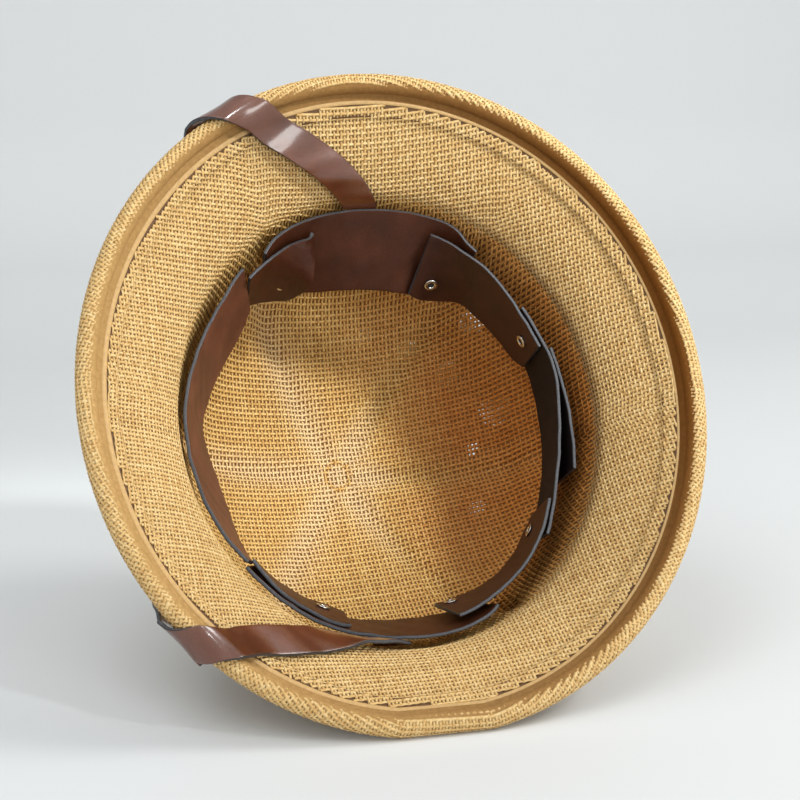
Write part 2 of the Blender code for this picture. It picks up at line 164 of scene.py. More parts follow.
def strawFace(bearings, steps):
    # inner face of crown and brim: rows of points from the apex to the rolled edge,
    # their outward normals, and the row where the crown ends
    rows = [crownPoint(bearings, *share) for share in reversed(crownProfile)]
    crownRows = (len(rows) - 1) * steps
    rows += [brimPoint(bearings, *share) for share in reversed(brimProfile)]
    points = smoothRows(rows, steps)
    away = faceNormals(points)
    deep = np.clip((-points[..., 2] - openingDepth) / hat["crownDepth"], 0, 1)
    fromApex = np.hypot(points[..., 0] - apexX, points[..., 1])
    sink = np.zeros(deep.shape)
    for rib in hat["ribs"]:
        across = acrossRib(bearings, rib, fromApex)
        sink = np.maximum(sink, hat["ribHeight"] * np.exp(-1.4 * across**2) * np.minimum(1, deep * 4))
    sink *= np.clip(fromApex / hat["bossWidth"] - 0.4, 0, 1)
    boss = np.clip((hat["bossWidth"] / 2 - fromApex) / hat["bossHeight"], 0, 1)
    sink = np.maximum(sink, hat["bossHeight"] * boss)
    points = points + away * sink[..., None]
    return points, faceNormals(points), crownRows


def faceNormals(points):
    # outward normals of a grid of closed rows
    along = np.gradient(points, axis=0)
    normal = np.cross(np.roll(points, -1, axis=1) - np.roll(points, 1, axis=1), along)
    normal[np.linalg.norm(normal, axis=-1) < 1e-10] = (0, 0, -1)
    return unit(normal)


# Weave. Each cloth layer is real thread: lines of a flat cloth laid over the hat's form.
weave = {
    "pitchX": 0.002,  # between the threads that run side to side
    "pitchY": 0.00248,  # between the threads that run front to back
    "widthX": 0.00136,
    "widthY": 0.00164,
    "thickness": 0.00048,
    "crimp": 0.0002,
    "turn": 3.0,  # degrees between the cloth and the hat's length
    "wander": 0.00005,
    "unevenness": 0.07,  # of the threads' widths
    "seed": 11,
    "columns": 480,  # of the form that the threads are laid over
    "rowSteps": 6,
    # how far outside the hat's inner face each layer lies
    "innerLayer": 0.0004,
    "filmLayer": 0.00076,
    "outerLayer": 0.00112,
    # how much of the depth counts along the cloth, in the crown and on the brim
    "innerStretch": (0.1, 0.8),
    "outerStretch": (0.42, 0.6),
    "film": 0.00012,  # the size that stiffens the cloth, between its two layers
    # where the size has missed the cloth: bearing, share of the opening, width
    "thinSpots": (
        (76, 0.647, 0.01), (56, 0.662, 0.011), (44, 0.89, 0.013), (38, 0.694, 0.012), (15, 0.779, 0.014),
        (4, 0.644, 0.008), (336, 0.669, 0.009), (66, 0.915, 0.006),
    ),
}


def clothTable(points, stretch):
    # distance along the cloth from the apex, for every row and column of a face
    steps = np.diff(points, axis=0)
    flat = np.hypot(steps[..., 0], steps[..., 1])
    length = np.sqrt(flat**2 + stretch * steps[..., 2] ** 2)
    reach = np.concatenate([np.zeros((1, points.shape[1])), np.cumsum(length, axis=0)])
    ends = points[-1] - points[0]
    way = np.degrees(np.arctan2(ends[:, 1], ends[:, 0])) % 360
    return reach, way


def between(first, second, share):
    return first + (second - first) * share[..., None]


def layThreads(points, away, stretch, splits, seed, shade):
    # thread lines over a face, as one list of runs for each part between the split rows
    reach, way = clothTable(points, stretch)
    rowCount, columnCount = reach.shape
    order = np.argsort(way)
    wayUp = np.append(way[order], way[order[0]] + 360)
    columnUp = np.append(order, order[0])
    dice = np.random.default_rng(seed)
    farthest = reach[-1].max()
    turn = np.exp(1j * math.radians(weave["turn"]))
    parts = [[] for _ in range(len(splits) + 1)]
    for runsAlongX, (own, other) in enumerate(("XY", "YX")):
        pitch, otherPitch = weave["pitch" + own], weave["pitch" + other]
        lineCount, stepCount = int(farthest / pitch) + 1, int(farthest / otherPitch) + 1
        steps = np.arange(-stepCount, stepCount + 1)
        for line in range(-lineCount, lineCount + 1):
            off = line * pitch + dice.normal(0, weave["wander"])
            tone = dice.random()
            width = weave["width" + own] * (1 + dice.normal(0, weave["unevenness"]))
            drift = np.cumsum(dice.normal(0, weave["wander"] * 0.35, len(steps)))
            drift -= np.linspace(drift[0], drift[-1], len(steps))
            a = steps * otherPitch + dice.normal(0, weave["wander"] * 0.5, len(steps))
            b = off + drift * 0.5
            # places on the flat cloth, as complex numbers
            flat = (a + 1j * b if runsAlongX else b + 1j * a) * turn
            angle = np.degrees(np.angle(flat)) % 360
            angle = np.where(angle < wayUp[0], angle + 360, angle)
            spot = np.clip(np.searchsorted(wayUp, angle, side="right") - 1, 0, columnCount - 1)
            share = (angle - wayUp[spot]) / np.maximum(wayUp[spot + 1] - wayUp[spot], 1e-9)
            tables = reach[:, columnUp[spot]] * (1 - share) + reach[:, columnUp[spot + 1]] * share
            distance = np.abs(flat)
            inside = np.nonzero(distance < tables[-1])[0]
            if len(inside) < 2:
                continue
            rows = np.array([np.interp(distance[k], tables[:, k], np.arange(rowCount)) for k in inside])
            rows = np.minimum(rows, rowCount - 1.001)
            low = rows.astype(int)
            share, angle = share[inside], angle[inside]
            first, second = columnUp[spot[inside]], columnUp[spot[inside] + 1]
            spots, normals = [
                between(between(grid[low, first], grid[low, second], share),
                        between(grid[low + 1, first], grid[low + 1, second], share), rows - low)
                for grid in (points, away)]
            over = np.where((steps[inside] + line + runsAlongX) % 2 == 0, 1.0, -1.0)
            part = np.searchsorted(splits, rows, side="right")
            jumps = np.diff(inside) > 1
            start = 0
            for k in range(1, len(inside)):
                if jumps[k - 1] or part[k - 1] != part[start] or k == len(inside) - 1:
                    stop = k if jumps[k - 1] else k + 1
                    run, count = slice(start, stop), stop - start
                    if count > 1:
                        parts[part[start]].append({
                            "points": spots[run], "away": normals[run], "over": over[run],
                            "halfWidth": [width / 2] * count, "tone": [tone] * count,
                            "shade": shade(rows[run], angle[run])})
                    start = k
    return parts


def addObject(name, data):
    made = bpy.data.objects.new(name, data)
    bpy.context.scene.collection.objects.link(made)
    return made


def setAttribute(mesh, label, values):
    kind, field = ("FLOAT", "value") if np.ndim(values) == 1 else ("FLOAT_VECTOR", "vector")
    mesh.attributes.new(label, kind, "POINT").data.foreach_set(field, np.ravel(values))


def linesMesh(name, runs):
    # an edge-only mesh of thread lines, with what the thread tree reads as attributes
    joined = {label: np.concatenate([run[label] for run in runs]) for label in runs[0]}
    starts = np.cumsum([0] + [len(run["points"]) for run in runs]).tolist()
    edges = [(k, k + 1) for begin, end in zip(starts, starts[1:]) for k in range(begin, end - 1)]
    mesh = bpy.data.meshes.new(name)
    mesh.from_pydata(intoRoom(joined["points"]).tolist(), edges, [])
    setAttribute(mesh, "away", unit(joined["away"]) @ toRoomTurn.T)
    for label in ("over", "halfWidth", "tone", "shade"):
        setAttribute(mesh, label, joined[label])
    return addObject(name, mesh)


def fillInputs(tree, sockets, inputs):
    # links each input that is given a socket, and sets the others
    for label, given in inputs.items():
        for value in given if isinstance(given, list) else [given]:
            if hasattr(value, "is_linked"):
                tree.links.new(value, sockets[label])
            else:
                sockets[label].default_value = value


def addNode(tree, kind, inputs={}, output=0, **settings):
    # a node with its settings and inputs; gives one of its outputs
    node = tree.nodes.new(kind)
    for label, value in settings.items():
        setattr(node, label, value)
    fillInputs(tree, node.inputs, inputs)
    return node.outputs[output]


def reckon(tree, operation, *values):
    return addNode(tree, "ShaderNodeMath", dict(enumerate(values)), operation=operation)


def readAttribute(tree, label, kind="FLOAT"):
    return addNode(tree, "GeometryNodeInputNamedAttribute", {"Name": label}, "Attribute", data_type=kind)


def newTree(name, **inputs):
    tree = bpy.data.node_groups.new(name, "GeometryNodeTree")
    tree.interface.new_socket("Geometry", in_out="OUTPUT", socket_type="NodeSocketGeometry")
    for label, kind in {"Geometry": "Geometry", **inputs}.items():
        tree.interface.new_socket(label, in_out="INPUT", socket_type="NodeSocket" + kind)
    return tree, tree.nodes.new("NodeGroupInput").outputs


def endTree(tree, geometry, *coats):
    # makes the geometry real and sets its materials
    made = addNode(tree, "GeometryNodeRealizeInstances", {"Geometry": geometry})
    for coat in coats:
        made = addNode(tree, "GeometryNodeSetMaterial", {"Geometry": made, **coat})
    tree.links.new(made, tree.nodes.new("NodeGroupOutput").inputs["Geometry"])
    return tree


def threadTree():
    tree, given = newTree("threads", Crimp="Float", Thickness="Float", Width="Float", Sides="Int",
                          Straw="Material")
    away = readAttribute(tree, "away", "FLOAT_VECTOR")
    lift = reckon(tree, "MULTIPLY", readAttribute(tree, "over"), given["Crimp"])
    push = addNode(tree, "ShaderNodeVectorMath", {0: away, "Scale": lift}, operation="SCALE")
    moved = addNode(tree, "GeometryNodeSetPosition", {"Geometry": given["Geometry"], "Offset": push})
    curve = addNode(tree, "GeometryNodeMeshToCurve", {"Mesh": moved})
    upright = addNode(tree, "GeometryNodeSetCurveNormal", {"Curve": curve, "Normal": away}, mode="FREE")
    circle = addNode(tree, "GeometryNodeCurvePrimitiveCircle", {"Resolution": given["Sides"], "Radius": 1.0})
    ratio = addNode(tree, "ShaderNodeCombineXYZ", {
        "X": reckon(tree, "DIVIDE", given["Thickness"], given["Width"]), "Y": 1.0, "Z": 1.0})
    flat = addNode(tree, "GeometryNodeTransform", {"Geometry": circle, "Scale": ratio})
    tube = addNode(tree, "GeometryNodeCurveToMesh", {
        "Curve": upright, "Profile Curve": flat, "Scale": readAttribute(tree, "halfWidth"),
        "Fill Caps": True})
    soft = addNode(tree, "GeometryNodeSetShadeSmooth", {"Geometry": tube})
    return endTree(tree, soft, {"Material": given["Straw"]})


def bakeTree(source, tree, settings, name):
    # runs a tree on an object and keeps the result as a plain mesh object
    modifier = source.modifiers.new("tree", "NODES")
    modifier.node_group = tree
    for item in tree.interface.items_tree:
        if item.name in settings:
            modifier[item.identifier] = settings[item.name]
    return bakeObject(source, name)


def bakeObject(source, name):
    bpy.context.view_layer.update()
    graph = bpy.context.evaluated_depsgraph_get()
    mesh = bpy.data.meshes.new_from_object(source.evaluated_get(graph), depsgraph=graph)
    bpy.data.objects.remove(source, do_unlink=True)
    mesh.name = name
    return addObject(name, mesh)


# Materials
white = (1.0, 1.0, 1.0)


def newMaterial(name, roughness, specular=0.5, metallic=0.0, coat=0.0):
    made = bpy.data.materials.new(name)
    made.use_nodes = True
    tree = made.node_tree
    shader = tree.nodes["Principled BSDF"].inputs
    fillInputs(tree, shader, {"Roughness": roughness, "Specular IOR Level": specular, "Metallic": metallic,
                              "Coat Weight": coat, "Coat Roughness": 0.16})
    return made, tree, shader


def noiseOn(tree, scale, detail=3.0):
    where = addNode(tree, "ShaderNodeTexCoord", output="Object")
    return addNode(tree, "ShaderNodeTexNoise", {"Vector": where, "Scale": scale, "Detail": detail}, "Fac")


def ramp(tree, value, *stops):
    colour = addNode(tree, "ShaderNodeValToRGB", {"Fac": value}, "Color")
    elements = colour.node.color_ramp.elements
    while len(elements) < len(stops):
        elements.new(0.5)
    for element, (position, shade) in zip(elements, stops):
        element.position = position
        element.color = (*shade, 1.0)
    return colour


def mixColour(tree, mode, amount, first, second):
    # inputs 6 and 7 and output 2 of the node are its colours
    colours = {6: first, 7: second if hasattr(second, "is_linked") else (*second, 1.0)}
    return addNode(tree, "ShaderNodeMix", {0: amount, **colours}, 2, data_type="RGBA", blend_type=mode)


def bumpFrom(tree, height, strength):
    return addNode(tree, "ShaderNodeBump", {"Height": height, "Strength": strength, "Distance": 0.0002})


strawLook = {
    "dark": (0.5, 0.29, 0.1),
    "middle": (0.63, 0.415, 0.166),
    "light": (0.73, 0.53, 0.252),
    "toneSpread": 0.22,  # between one thread and the next
    # painted highlight: the colour the ribs and the boss are paled towards, and the most of it
    "paintedLight": (0.84, 0.7, 0.48),
    "palest": 0.38,
    "patchDark": (0.95, 0.94, 0.92),
    "patches": 22.0,
    "knots": 420.0,
    "fibre": 1500.0,
    "fibreDepth": 0.4,
    "roughness": 0.62,
    "specular": 0.3,
    # each kind's tint, the crown's a darker, more orange copy as painted shade inside the crown, and what is
    # left of its colour under full painted shade
    "kinds": {
        "strawThread": ((1.0, 1.0, 1.0), (0.22, 0.115, 0.045)),
        "strawThreadOuter": ((0.94, 0.9, 0.85), (0.22, 0.115, 0.045)),
        "strawThreadCrown": ((1.0, 0.93, 0.74), (0.8, 0.46, 0.24)),
    },
}


def strawMaterial(name):
    look = strawLook
    tint, paintedShade = look["kinds"][name]
    _, tree, shader = newMaterial(name, look["roughness"], look["specular"])
    tone, shade = [addNode(tree, "ShaderNodeAttribute", output="Fac", attribute_name=label)
                   for label in ("tone", "shade")]
    mixed = reckon(tree, "MULTIPLY_ADD", tone, look["toneSpread"], noiseOn(tree, look["knots"], 2.0))
    colour = ramp(tree, mixed, (0.30, look["dark"]), (0.58, look["middle"]), (0.88, look["light"]))
    patches = ramp(tree, noiseOn(tree, look["patches"], 2.0), (0.3, look["patchDark"]), (0.7, white))
    # the shade attribute paints shade towards the kind's shaded colour, and below zero paints highlight
    # towards the pale colour
    for layer in (patches, ramp(tree, shade, (0.0, white), (1.0, paintedShade)), tint):
        colour = mixColour(tree, "MULTIPLY", 1.0, colour, layer)
    pale = addNode(tree, "ShaderNodeMapRange", {"Value": shade, "From Max": -1.0})
    fillInputs(tree, shader, {
        "Base Color": mixColour(tree, "MIX", pale, colour, look["paintedLight"]),
        "Normal": bumpFrom(tree, noiseOn(tree, look["fibre"], 2.0), look["fibreDepth"])})


# colour, roughness, coat, specular
leatherLook = {
    "tan": ((0.1, 0.034, 0.017), 0.48, 0.05, 0.23),
    "brown": ((0.048, 0.012, 0.0035), 0.5, 0.04, 0.23),
    "dark": ((0.042, 0.013, 0.006), 0.5, 0.04, 0.23),
    # near black: the back strips' leather darkened as painted shade
    "black": ((0.01, 0.0055, 0.0045), 0.7, 0.0, 0.23),
    "strap": ((0.106, 0.028, 0.009), 0.32, 0.9, 0.5),
}

hide = {
    "clouds": 60.0,
    "cloudShares": (0.72, 1.3),  # of the colour, where the clouds are darkest and lightest
    "cloudGloss": (-0.07, 0.12),  # what the clouds add to the roughness
    "speckles": 900.0,
    "speckleDark": (0.8, 0.78, 0.76),
    "speckleStrength": 0.8,
    "grain": 1150.0,
    "grainDepth": 0.22,
}


def leatherMaterial(name):
    base, roughness, coat, specular = leatherLook[name]
    _, tree, shader = newMaterial(name + "Leather", roughness, specular, coat=coat)
    clouds = noiseOn(tree, hide["clouds"], 4.0)
    darker, lighter = [tuple(c * share for c in base) for share in hide["cloudShares"]]
    colour = ramp(tree, clouds, (0.30, darker), (0.72, lighter))
    speckle = ramp(tree, noiseOn(tree, hide["speckles"]), (0.35, hide["speckleDark"]), (0.65, white))
    low, high = [roughness + step for step in hide["cloudGloss"]]
    gloss = addNode(tree, "ShaderNodeMapRange", {"Value": clouds, "To Min": low, "To Max": high})
    where = addNode(tree, "ShaderNodeTexCoord", output="Object")
    grain = addNode(tree, "ShaderNodeTexVoronoi", {"Vector": where, "Scale": hide["grain"]}, "Distance")
    fillInputs(tree, shader, {
        "Base Color": mixColour(tree, "MULTIPLY", hide["speckleStrength"], colour, speckle),
        "Roughness": gloss, "Normal": bumpFrom(tree, grain, hide["grainDepth"])})


# roughness, metallic and colour; for a mottle also its darker colour, fineness and depth
plainLook = {
    "paleFloor": (0.55, 0.0, (0.675, 0.695, 0.695)),
    "burnishedRim": (0.42, 0.0, (0.013, 0.011, 0.012)),
    "eyeletBore": (0.7, 0.0, (0.012, 0.01, 0.009)),
    "eyeletSteel": (0.26, 1.0, (0.72, 0.7, 0.67), (0.42, 0.4, 0.37), 1200.0, 0.0),
    "cutEdge": (0.55, 0.0, (0.064, 0.066, 0.075), (0.022, 0.024, 0.028), 1400.0, 0.5),
    "strawSize": (0.75, 0.0, (0.24, 0.098, 0.02), (0.192, 0.0784, 0.016), 700.0, 0.0),
    "rollCloth": (0.7, 0.0, (0.2, 0.09, 0.024), (0.16, 0.072, 0.0192), 700.0, 0.0),
    "hemCloth": (0.6, 0.0, (0.54, 0.335, 0.125), (0.432, 0.268, 0.1), 700.0, 0.0),
    # dark hem past the glued rim: its cut straw, and painted shadow at the rim's edge
    "hemCut": (0.7, 0.0, (0.13, 0.06, 0.02), (0.104, 0.048, 0.016), 700.0, 0.0),
}


def plainMaterial(name):
    roughness, metallic, colour, *mottle = plainLook[name]
    made, tree, shader = newMaterial(name, roughness, metallic=metallic)
    if not mottle:
        shader["Base Color"].default_value = (*colour, 1.0)
        return made
    darker, fineness, depth = mottle
    fine = noiseOn(tree, fineness)
    tree.links.new(ramp(tree, fine, (0.3, darker), (0.7, colour)), shader["Base Color"])
    if depth:
        tree.links.new(bumpFrom(tree, fine, depth), shader["Normal"])
    return made


# Camera at the photograph's angle, aimed past the middle of the brim's plane
camera = {
    "azimuth": -13.8456,
    "elevation": 12.0208,
    "distance": 0.700,
    "lens": 71.502,
    "aside": (4.77, -19.34),  # where the brim's middle shows, in pixels from the picture's middle
    "picture": 800,
    "sensor": 36.0,
}


def addCamera():
    a, e = math.radians(camera["azimuth"]), math.radians(camera["elevation"])
    back = Vector((math.sin(a) * math.cos(e), -math.cos(a) * math.cos(e), math.sin(e)))
    right = Vector((math.cos(a), math.sin(a), 0.0))
    up = back.cross(right)
    pixel = camera["distance"] * camera["sensor"] / (camera["picture"] * camera["lens"])
    spot = Vector(lie["middle"]) + back * camera["distance"]
    spot -= right * camera["aside"][0] * pixel
    spot += up * camera["aside"][1] * pixel
    data = bpy.data.cameras.new("camera")
    data.lens, data.sensor_width, data.clip_start = camera["lens"], camera["sensor"], 0.01
    made = addObject("camera", data)
    turned = Matrix((right, up, back)).transposed().to_4x4()
    made.matrix_world = Matrix.Translation(spot) @ turned
    bpy.context.scene.camera = made


studio = {
    # place, aim, size, strength and colour; the last is a shaded lamp, with the cone of its light
    "lamps": {
        "window": ((1.15, -0.18, 1.0), (0.0, 0.0, 0.12), 0.55, 9.6, (1.0, 0.985, 0.96)),
        "topLight": ((-0.45, -0.5, 1.15), (0.0, 0.0, 0.12), 0.8, 5.0, (0.98, 0.99, 1.0)),
        "sideLight": ((0.75, -1.5, 0.24), (0.0, 0.0, 0.12), 0.6, 8.6, (1.0, 0.99, 0.97)),
        "innerLamp": ((0.51, -0.66, 0.92), (-0.02, 0.06, 0.096), 0.1, 78.0, (0.94, 0.98, 1.0), 15.0),
    },
    "sky": (0.9, 0.915, 0.93),
    "skyStrength": 0.83,
    "floorHalf": 7.0,
    # far and high: from the front of the floor up the wall behind it
    "floorProfile": ((-7.0, 0.0), (0.78, 0.0), (1.105, 0.04), (1.3, 0.2), (1.3, 3.0)),
}


def addLamp(name, spot, aim, size, strength, colour, cone=None):
    light = bpy.data.lights.new(name, "SPOT" if cone else "AREA")
    light.energy, light.color = strength, colour
    if cone:
        light.spot_size, light.spot_blend, light.shadow_soft_size = math.radians(cone), 1.0, size
    else:
        light.shape, light.size = "DISK", size
    made = addObject(name, light)
    made.location = spot
    made.rotation_euler = (Vector(aim) - Vector(spot)).to_track_quat("-Z", "Y").to_euler()


def addStudio():
    world = bpy.data.worlds.new("softRoom")
    bpy.context.scene.world = world
    world.use_nodes = True
    fillInputs(world.node_tree, world.node_tree.nodes["Background"].inputs, {
        "Color": (*studio["sky"], 1.0), "Strength": studio["skyStrength"]})
    for name, lamp in studio["lamps"].items():
        addLamp(name, *lamp)
    floor = bpy.data.meshes.new("floor")
    profile, half = studio["floorProfile"], studio["floorHalf"]
    corners = [(x, y, z) for y, z in profile for x in (-half, half)]
    faces = [(k, k + 1, k + 3, k + 2) for k in range(0, len(corners) - 2, 2)]
    floor.from_pydata(corners, [], faces)
    floor.shade_smooth()
    floor.materials.append(plainMaterial("paleFloor"))
    addObject("floor", floor)
    bpy.context.scene.view_settings.view_transform = "Standard"


addCamera()
addStudio()
print("camera and studio ready")


def keep(made, slot, *nodes):
    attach(made, "root")
    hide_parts(*nodes)


edge = {
    "threadRadius": 0.00462,
    "coreRadius": 0.0043,
    "underside": -0.00135,
    "rowsUnder": 2,  # so many of the brim's last rows run under the roll
    "turnSteps": 26,
    "lastTurn": 12.0,  # degrees between the end of the roll's cloth and the brim
    # the painted shade on the roll's threads grows over these steps too
    "sunkAndShadedSteps": (9, 5),  # over these last steps of the turn the threads sink into the glue
    "sink": 0.0009,
    # painted shade on the roll's threads and in the valley: bearing where it is darkest, least and most of
    # it
    "paintedRollShade": (25, 0.33, 0.75),
    "valleyShade": (15, 0.3, 1.0),
    "coreSteps": 30,
    "clothSteps": 20,  # of these under the threads, the others glued
    "valleyEnd": 0.007,
    "valleyFloor": 0.0004,
    "hemTop": 0.0008,
    "hemRim": 0.00138,
    "hemBare": 0.01,  # up to here the hem is smooth with glue
    "hemLift": 0.00075,  # of the inner weave over the hem
    "hemStep": (0.0008, 0.0012),  # the weave climbs from this far before the hem, over this length
    "rimRise": (0.0005, 0.0012),  # from the valley to the shoulder and the top of the glued rim
    "rimRounding": 0.0004,
    "cutRounding": 0.00015,
}

# painted highlight and painted shade in the colour of the inner layer
crownPaintedLight = {
    "boss": (0.35, 0.006),  # place as a share of its width, and spread
    "bossShadeLine": (0.5, 0.0011),  # strength and spread
    "ribSharpness": 0.38,
    "paleShares": (0.0, 0.45, 0.85),  # of the crown, from its apex
    "paleStrength": (1.0, 0.75, 0.0),
    "backBearing": 5,
    "backSharpness": 1.2,
    "backReach": (0.02, 0.066),
    "backShade": 0.95,
    "bandShade": 0.7,
    "bandRows": (4, 11),  # past the crown's end
}

# sides of each thread, kind of straw, slot and node
threadPieces = {
    "strawCrownInside": (4, "strawThreadCrown", "straw", "straw_shell"),
    "strawBrimInside": (4, "strawThread", "straw", "straw_shell"),
    "strawCrownOutside": (3, "strawThreadOuter", "straw", "straw_shell"),
    "strawBrimOutside": (3, "strawThreadOuter", "straw", "straw_shell"),
    "rolledEdgeWeave": (4, "strawThread", "straw_edge", "rolled_edge"),
}


def fade(bearings, darkest, least, most):
    return least + (most - least) * (1 + np.cos(np.radians(bearings - darkest))) / 2


def rollFrame(bearings):
    # the middle of the roll, the way up the brim from it and the way off the brim
    middle = brimPoint(bearings, 1.0, 0.0)
    slope = unit(brimPoint(bearings, *brimProfile[2]) - middle)
    return middle, slope, np.cross(place(bearings + 90, 1.0, 0.0), slope)


def rollRows(bearings, section):
    # rows of points up the brim and off it from the roll's middle, and their ways from there
    middle, slope, normal = rollFrame(bearings)
    ways = np.array([slope * along + normal * off for along, off in section])
    return middle + ways, unit(ways)


def threadSection():
    # the threads' way from the outer face round the roll to its valley
    radius, steps = edge["threadRadius"], edge["turnSteps"]
    firstTurn = math.degrees(math.asin(edge["underside"] / radius))
    section = []
    for k in range(steps + 1):
        turn = math.radians(firstTurn - (360 + firstTurn - edge["lastTurn"]) * k / steps)
        sunk = radius - np.interp(steps - k, edge["sunkAndShadedSteps"][::-1], (edge["sink"], 0.0))
        section.append((sunk * math.cos(turn), sunk * math.sin(turn)))
    return section


def makeStraw():
    bearings = np.linspace(0, 360, weave["columns"], endpoint=False)
    points, away, crownRows = strawFace(bearings, weave["rowSteps"])
    middle, slope, _ = rollFrame(bearings)
    fromRoll = ((points - middle) * slope).sum(axis=-1)
    # the inner layer climbs on to the hem and ends there
    innerEnd = int(np.argmin(np.abs(fromRoll.mean(axis=1) - edge["hemBare"]))) + 1
    before, over = edge["hemStep"]
    climb = np.clip((rollRadius + hat["hemWidth"] + before - fromRoll) / over, 0, 1)
    climb *= (np.arange(len(points)) > crownRows)[:, None]
    inner = points + away * (weave["innerLayer"] - climb * (edge["hemTop"] + edge["hemLift"]))[..., None]
    # the other layers stop short of the roll
    brimEnd = len(points) - edge["rowsUnder"]
    edgeRows, edgeAway = rollRows(bearings, threadSection())
    outer = np.concatenate([(points + away * weave["outerLayer"])[:brimEnd], edgeRows])
    outerAway = np.concatenate([away[:brimEnd], edgeAway])
    fromApex = np.hypot(points[..., 0] - apexX, points[..., 1]).mean(axis=1)
    sunkRows = [brimEnd + edge["turnSteps"] + 1 - step for step in edge["sunkAndShadedSteps"]]

    def paintedLight(rows, angles):
        # painted highlight: the pressed ribs and the boss paler
        reach = np.interp(rows, np.arange(len(points)), fromApex)
        share, spread = crownPaintedLight["boss"]
        pale = np.exp(-((reach - hat["bossWidth"] * share) / spread) ** 2)
        for rib in hat["ribs"]:
            across = acrossRib(angles, rib, reach)
            pale = np.maximum(pale, np.exp(-crownPaintedLight["ribSharpness"] * across**2))
        pale *= np.interp(rows / crownRows, crownPaintedLight["paleShares"], crownPaintedLight["paleStrength"])
        # and painted shade: darker round the boss, at the back of the crown and behind the headband
        strength, spread = crownPaintedLight["bossShadeLine"]
        line = strength * np.exp(-((reach - hat["bossWidth"] / 2) / spread) ** 2)
        back = np.clip(np.cos(np.radians(angles - crownPaintedLight["backBearing"])), 0, 1) ** crownPaintedLight["backSharpness"]
        deep = np.interp(reach, crownPaintedLight["backReach"], (0.0, crownPaintedLight["backShade"]))
        behind = np.interp(rows - crownRows, crownPaintedLight["bandRows"], (crownPaintedLight["bandShade"], 0.0))
        return line + back * np.where(rows < crownRows, deep, behind) - strawLook["palest"] * pale

    def paintedShade(rows, angles):
        # painted shade: the roll darker towards the valley, most at the back
        return np.interp(rows, sunkRows, (0.0, 1.0)) * fade(angles, *edge["paintedRollShade"])

    stretch = np.where(np.arange(innerEnd - 1) < crownRows, *weave["innerStretch"])[:, None]
    parts = layThreads(inner[:innerEnd], away[:innerEnd], stretch, [crownRows], weave["seed"], paintedLight)
    stretch = np.ones((len(outer) - 1, 1))
    stretch[:crownRows], stretch[crownRows:brimEnd] = weave["outerStretch"]
    splits = [crownRows, brimEnd - 1, sunkRows[1]]
    parts += layThreads(outer, outerAway, stretch, splits, weave["seed"] + 1, paintedShade)
    tree = threadTree()
    for kind in strawLook["kinds"]:
        strawMaterial(kind)
    for (name, (sides, kind, slot, node)), runs in zip(threadPieces.items(), parts):
        settings = {"Crimp": weave["crimp"], "Thickness": weave["thickness"], "Sides": sides,
                    "Width": (weave["widthX"] + weave["widthY"]) / 2, "Straw": bpy.data.materials[kind]}
        made = bakeTree(linesMesh(name + "Lines", runs), tree, settings, name)
        keep(made, slot, node)
        print(name, len(made.data.polygons), "faces")
    makeFilm((points + away * weave["filmLayer"])[:brimEnd, ::2])
    makeEdgeCore(bearings[::2], fromRoll[innerEnd - 1, ::2, None])


valleyLook = {
    # the valley's colour, and its colour under full painted shade
    "light": (0.60, 0.385, 0.15),
    "dark": (0.17, 0.060, 0.008),
    "mottle": 600.0,
    "mottleDark": (0.78, 0.76, 0.72),
    "roughness": 0.8,
    "specular": 0.12,
}


def valleyMaterial():
    # smooth glued cloth, with painted shade darkest at the back of the hat
    made, tree, shader = newMaterial("valleyShade", valleyLook["roughness"], valleyLook["specular"])
    shade = addNode(tree, "ShaderNodeAttribute", output="Fac", attribute_name="shade")
    colour = ramp(tree, shade, (0.0, valleyLook["light"]), (1.0, valleyLook["dark"]))
    fine = noiseOn(tree, valleyLook["mottle"])
    mottle = ramp(tree, fine, (0.3, valleyLook["mottleDark"]), (0.7, white))
    tree.links.new(mixColour(tree, "MULTIPLY", 1.0, colour, mottle), shader["Base Color"])
    return made


def ringFaces(rows, columns):
    # the faces of a grid of closed rows, the last of them back to the first row
    corner = np.arange(rows * columns).reshape(rows, columns)
    follow = np.roll(corner, -1, axis=1)
    return np.stack([corner, follow, np.roll(follow, -1, axis=0), np.roll(corner, -1, axis=0)], axis=-1)


def smoothMesh(name, points, faces, looks, indices):
    # a smooth mesh without loose points, its faces turned outwards, each with one of the looks
    mesh = bpy.data.meshes.new(name)
    mesh.from_pydata(intoRoom(points).tolist(), [], faces)
    shape = bmesh.new()
    shape.from_mesh(mesh)
    bmesh.ops.delete(shape, geom=[v for v in shape.verts if not v.link_faces], context="VERTS")
    bmesh.ops.recalc_face_normals(shape, faces=shape.faces)
    shape.to_mesh(mesh)
    shape.free()
    for look in looks:
        mesh.materials.append(look)
    mesh.polygons.foreach_set("material_index", indices)
    mesh.shade_smooth()
    return mesh


def makeFilm(grid):
    # the film of size between the two layers, open where it has missed the cloth
    ring = ringFaces(*grid.shape[:2])
    x, y, z = grid[1:-1].transpose(2, 0, 1)
    missed = np.zeros(x.shape, bool)
    for bearing, reach, width in weave["thinSpots"]:
        middle = place(np.array(float(bearing)), openingRadius(bearing), 0.0) * reach
        missed |= np.hypot(x - middle[0] - apexX * (1 - reach), y - middle[1]) < width / 2
    faces = ring[1:-1][~(missed & (z < -openingDepth))].tolist()
    faces += [(second, first, 0) for first, second in ring[1, :, :2].tolist()]
    looks = [plainMaterial("strawSize")]
    mesh = smoothMesh("strawSize", grid.reshape(-1, 3), faces, looks, [0] * len(faces))
    source = addObject("strawSize", mesh)
    wall = source.modifiers.new("wall", "SOLIDIFY")
    wall.thickness = weave["film"]
    wall.offset = 0.0
    keep(bakeObject(source, "strawSize"), "straw", "straw_shell")


